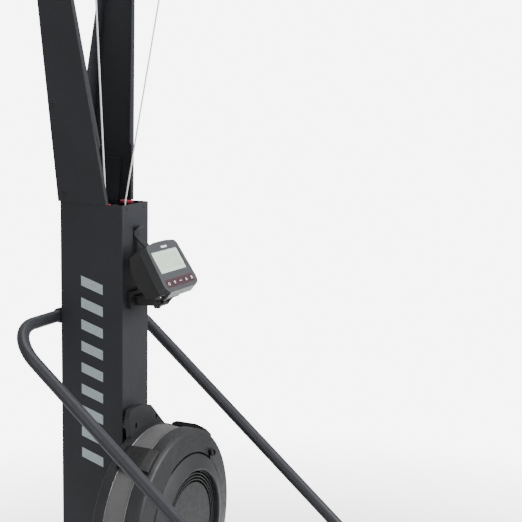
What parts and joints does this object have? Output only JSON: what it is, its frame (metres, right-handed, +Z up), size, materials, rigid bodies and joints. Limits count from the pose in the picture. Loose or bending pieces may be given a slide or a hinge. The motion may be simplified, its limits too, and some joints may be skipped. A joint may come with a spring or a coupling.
{
  "type": "standing rowing machine",
  "caption": "Standing ski-type air rowing machine: column with a fan, splayed arms with pull cords and handles, a tilting monitor, a bent brace tube and a foot board.",
  "frame": {"origin": "centre of the footprint, on the floor", "axes": "+Z up along the column, -Y towards the user, +X across the machine"},
  "size_m": [0.6, 1.29, 2.1608],
  "materials": {
    "frame_paint": "satin textured powder coat",
    "brace_paint": "satin",
    "dark_plastic": "fine grained",
    "board": "moulded",
    "mat_rubber": "ribbed",
    "foot_rubber": "matt",
    "wheel_rubber": "matt",
    "zinc_steel": "zinc plated",
    "black_steel": "black oxide",
    "machined_steel": "turned",
    "cast_alloy": "cast and machined",
    "screen_metal": "satin, finely perforated",
    "pulley_plastic": "satin",
    "roller_red": "polished",
    "cord": "braided",
    "handle_plastic": "fine grained",
    "grip_rubber": "ribbed foam rubber",
    "monitor_plastic": "satin moulded",
    "lcd": "clear window over a grey-green display",
    "button_red": "satin"
  },
  "bodies": {
    "frame": {"rail_left": "frame_paint", "rail_right": "frame_paint", "cross_tubes": "frame_paint", "tube_end_caps": "dark_plastic", "foot_board": "board", "board_mat": "mat_rubber", "rubber_feet": "foot_rubber", "axle_bolts": "zinc_steel", "brace_tube": "brace_paint", "brace_feet": "frame_paint", "brace_clamps": "frame_paint", "frame_bolts": "zinc_steel", "column_shell": "frame_paint", "column_foot": "frame_paint", "column_screws": "black_steel", "arm_left": "frame_paint", "arm_right": "frame_paint", "arm_brackets": "frame_paint", "arm_screws": "black_steel", "pulley_head_left": "frame_paint", "pulley_head_right": "frame_paint", "drive_cord_left": "cord", "drive_cord_right": "cord", "hanging_cord_left": "cord", "hanging_cord_right": "cord", "return_springs": "zinc_steel", "bearing_block": "cast_alloy", "bearings": "zinc_steel", "fan_back_shell": "dark_plastic", "air_screen": "screen_metal", "screen_clips": "dark_plastic", "fan_front_cover": "dark_plastic", "fan_grille": "dark_plastic", "monitor_bracket": "black_steel", "monitor_arm": "black_steel", "tilt_knob": "handle_plastic"},
    "wheel_left": {"wheel_left": "wheel_rubber"},
    "top_pulley_left": {"top_pulley_left": "pulley_plastic"},
    "guide_roller_left": {"guide_roller_left": "roller_red"},
    "cord_spool_left": {"cord_spool_left": "cast_alloy"},
    "handle_left": {"handle_left": "handle_plastic", "grip_left": "grip_rubber"},
    "wheel_right": {"wheel_right": "wheel_rubber"},
    "top_pulley_right": {"top_pulley_right": "pulley_plastic"},
    "guide_roller_right": {"guide_roller_right": "roller_red"},
    "cord_spool_right": {"cord_spool_right": "cast_alloy"},
    "handle_right": {"handle_right": "handle_plastic", "grip_right": "grip_rubber"},
    "flywheel": {"flywheel": "machined_steel", "flywheel_shaft": "machined_steel"},
    "damper": {"damper_ring": "dark_plastic"},
    "monitor": {"monitor_cradle": "black_steel", "monitor_back": "monitor_plastic", "monitor_front": "monitor_plastic", "lcd_window": "lcd"},
    "button_1": {"button_1": "button_red"},
    "button_2": {"button_2": "button_red"},
    "button_3": {"button_3": "button_red"},
    "button_4": {"button_4": "button_red"},
    "button_5": {"button_5": "button_red"}
  },
  "joints": [
    {"name": "handle_left_pull", "type": "slide", "parent": "frame", "child": "handle_left", "axis": [0, 0, -1], "range_m": [0, 1.1], "stiffness_N_per_m": 15, "springref_m": -1, "deforming": ["hanging_cord_left"]},
    {"name": "handle_right_pull", "type": "slide", "parent": "frame", "child": "handle_right", "axis": [0, 0, -1], "range_m": [0, 1.1], "stiffness_N_per_m": 15, "springref_m": -1, "deforming": ["hanging_cord_right"]},
    {"name": "wheel_left_spin", "type": "hinge", "parent": "frame", "child": "wheel_left", "pos_m": [-0.239, 0.607, 0.042], "axis": [1, 0, 0], "continuous": true},
    {"name": "top_pulley_left_spin", "type": "hinge", "parent": "frame", "child": "top_pulley_left", "pos_m": [-0.2011, 0.3613, 2.122], "axis": [0.987, 0, 0.1609], "continuous": true},
    {"name": "guide_roller_left_spin", "type": "hinge", "parent": "frame", "child": "guide_roller_left", "pos_m": [-0.0562, 0.4455, 1.355], "axis": [0, 1, 0], "continuous": true},
    {"name": "cord_spool_left_spin", "type": "hinge", "parent": "frame", "child": "cord_spool_left", "pos_m": [0, 0.426, 0.514], "axis": [0, 1, 0], "continuous": true},
    {"name": "wheel_right_spin", "type": "hinge", "parent": "frame", "child": "wheel_right", "pos_m": [0.239, 0.607, 0.042], "axis": [1, 0, 0], "continuous": true},
    {"name": "top_pulley_right_spin", "type": "hinge", "parent": "frame", "child": "top_pulley_right", "pos_m": [0.2011, 0.3613, 2.122], "axis": [0.987, 0, -0.1609], "continuous": true},
    {"name": "guide_roller_right_spin", "type": "hinge", "parent": "frame", "child": "guide_roller_right", "pos_m": [0.0562, 0.4455, 1.355], "axis": [0, 1, 0], "continuous": true},
    {"name": "cord_spool_right_spin", "type": "hinge", "parent": "frame", "child": "cord_spool_right", "pos_m": [0, 0.452, 0.514], "axis": [0, 1, 0], "continuous": true},
    {"name": "flywheel_spin", "type": "hinge", "parent": "frame", "child": "flywheel", "pos_m": [0, 0.325, 0.514], "axis": [0, 1, 0], "continuous": true},
    {"name": "damper_turn", "type": "hinge", "parent": "frame", "child": "damper", "pos_m": [0, 0.24, 0.514], "axis": [0, -1, 0], "range_deg": [0, 51]},
    {"name": "monitor_tilt", "type": "hinge", "parent": "frame", "child": "monitor", "pos_m": [0, 0.30279, 1.1075], "axis": [1, 0, 0], "range_deg": [0, 25]},
    {"name": "button_1_press", "type": "slide", "parent": "monitor", "child": "button_1", "axis": [0, 0.8453, -0.5344], "range_m": [0, 0.001], "stiffness_N_per_m": 600, "springref_m": -0.001},
    {"name": "button_2_press", "type": "slide", "parent": "monitor", "child": "button_2", "axis": [0, 0.8453, -0.5344], "range_m": [0, 0.001], "stiffness_N_per_m": 600, "springref_m": -0.001},
    {"name": "button_3_press", "type": "slide", "parent": "monitor", "child": "button_3", "axis": [0, 0.8453, -0.5344], "range_m": [0, 0.001], "stiffness_N_per_m": 600, "springref_m": -0.001},
    {"name": "button_4_press", "type": "slide", "parent": "monitor", "child": "button_4", "axis": [0, 0.8453, -0.5344], "range_m": [0, 0.001], "stiffness_N_per_m": 600, "springref_m": -0.001},
    {"name": "button_5_press", "type": "slide", "parent": "monitor", "child": "button_5", "axis": [0, 0.8453, -0.5344], "range_m": [0, 0.001], "stiffness_N_per_m": 600, "springref_m": -0.001}
  ],
  "couplings": [
    {"joint": "top_pulley_left_spin", "follows": "handle_left_pull", "rad_per_m": 37.037},
    {"joint": "guide_roller_left_spin", "follows": "handle_left_pull", "rad_per_m": -117.65},
    {"joint": "cord_spool_left_spin", "follows": "handle_left_pull", "rad_per_m": -28.985},
    {"joint": "top_pulley_right_spin", "follows": "handle_right_pull", "rad_per_m": 37.037},
    {"joint": "guide_roller_right_spin", "follows": "handle_right_pull", "rad_per_m": 117.65},
    {"joint": "cord_spool_right_spin", "follows": "handle_right_pull", "rad_per_m": -28.985}
  ]
}
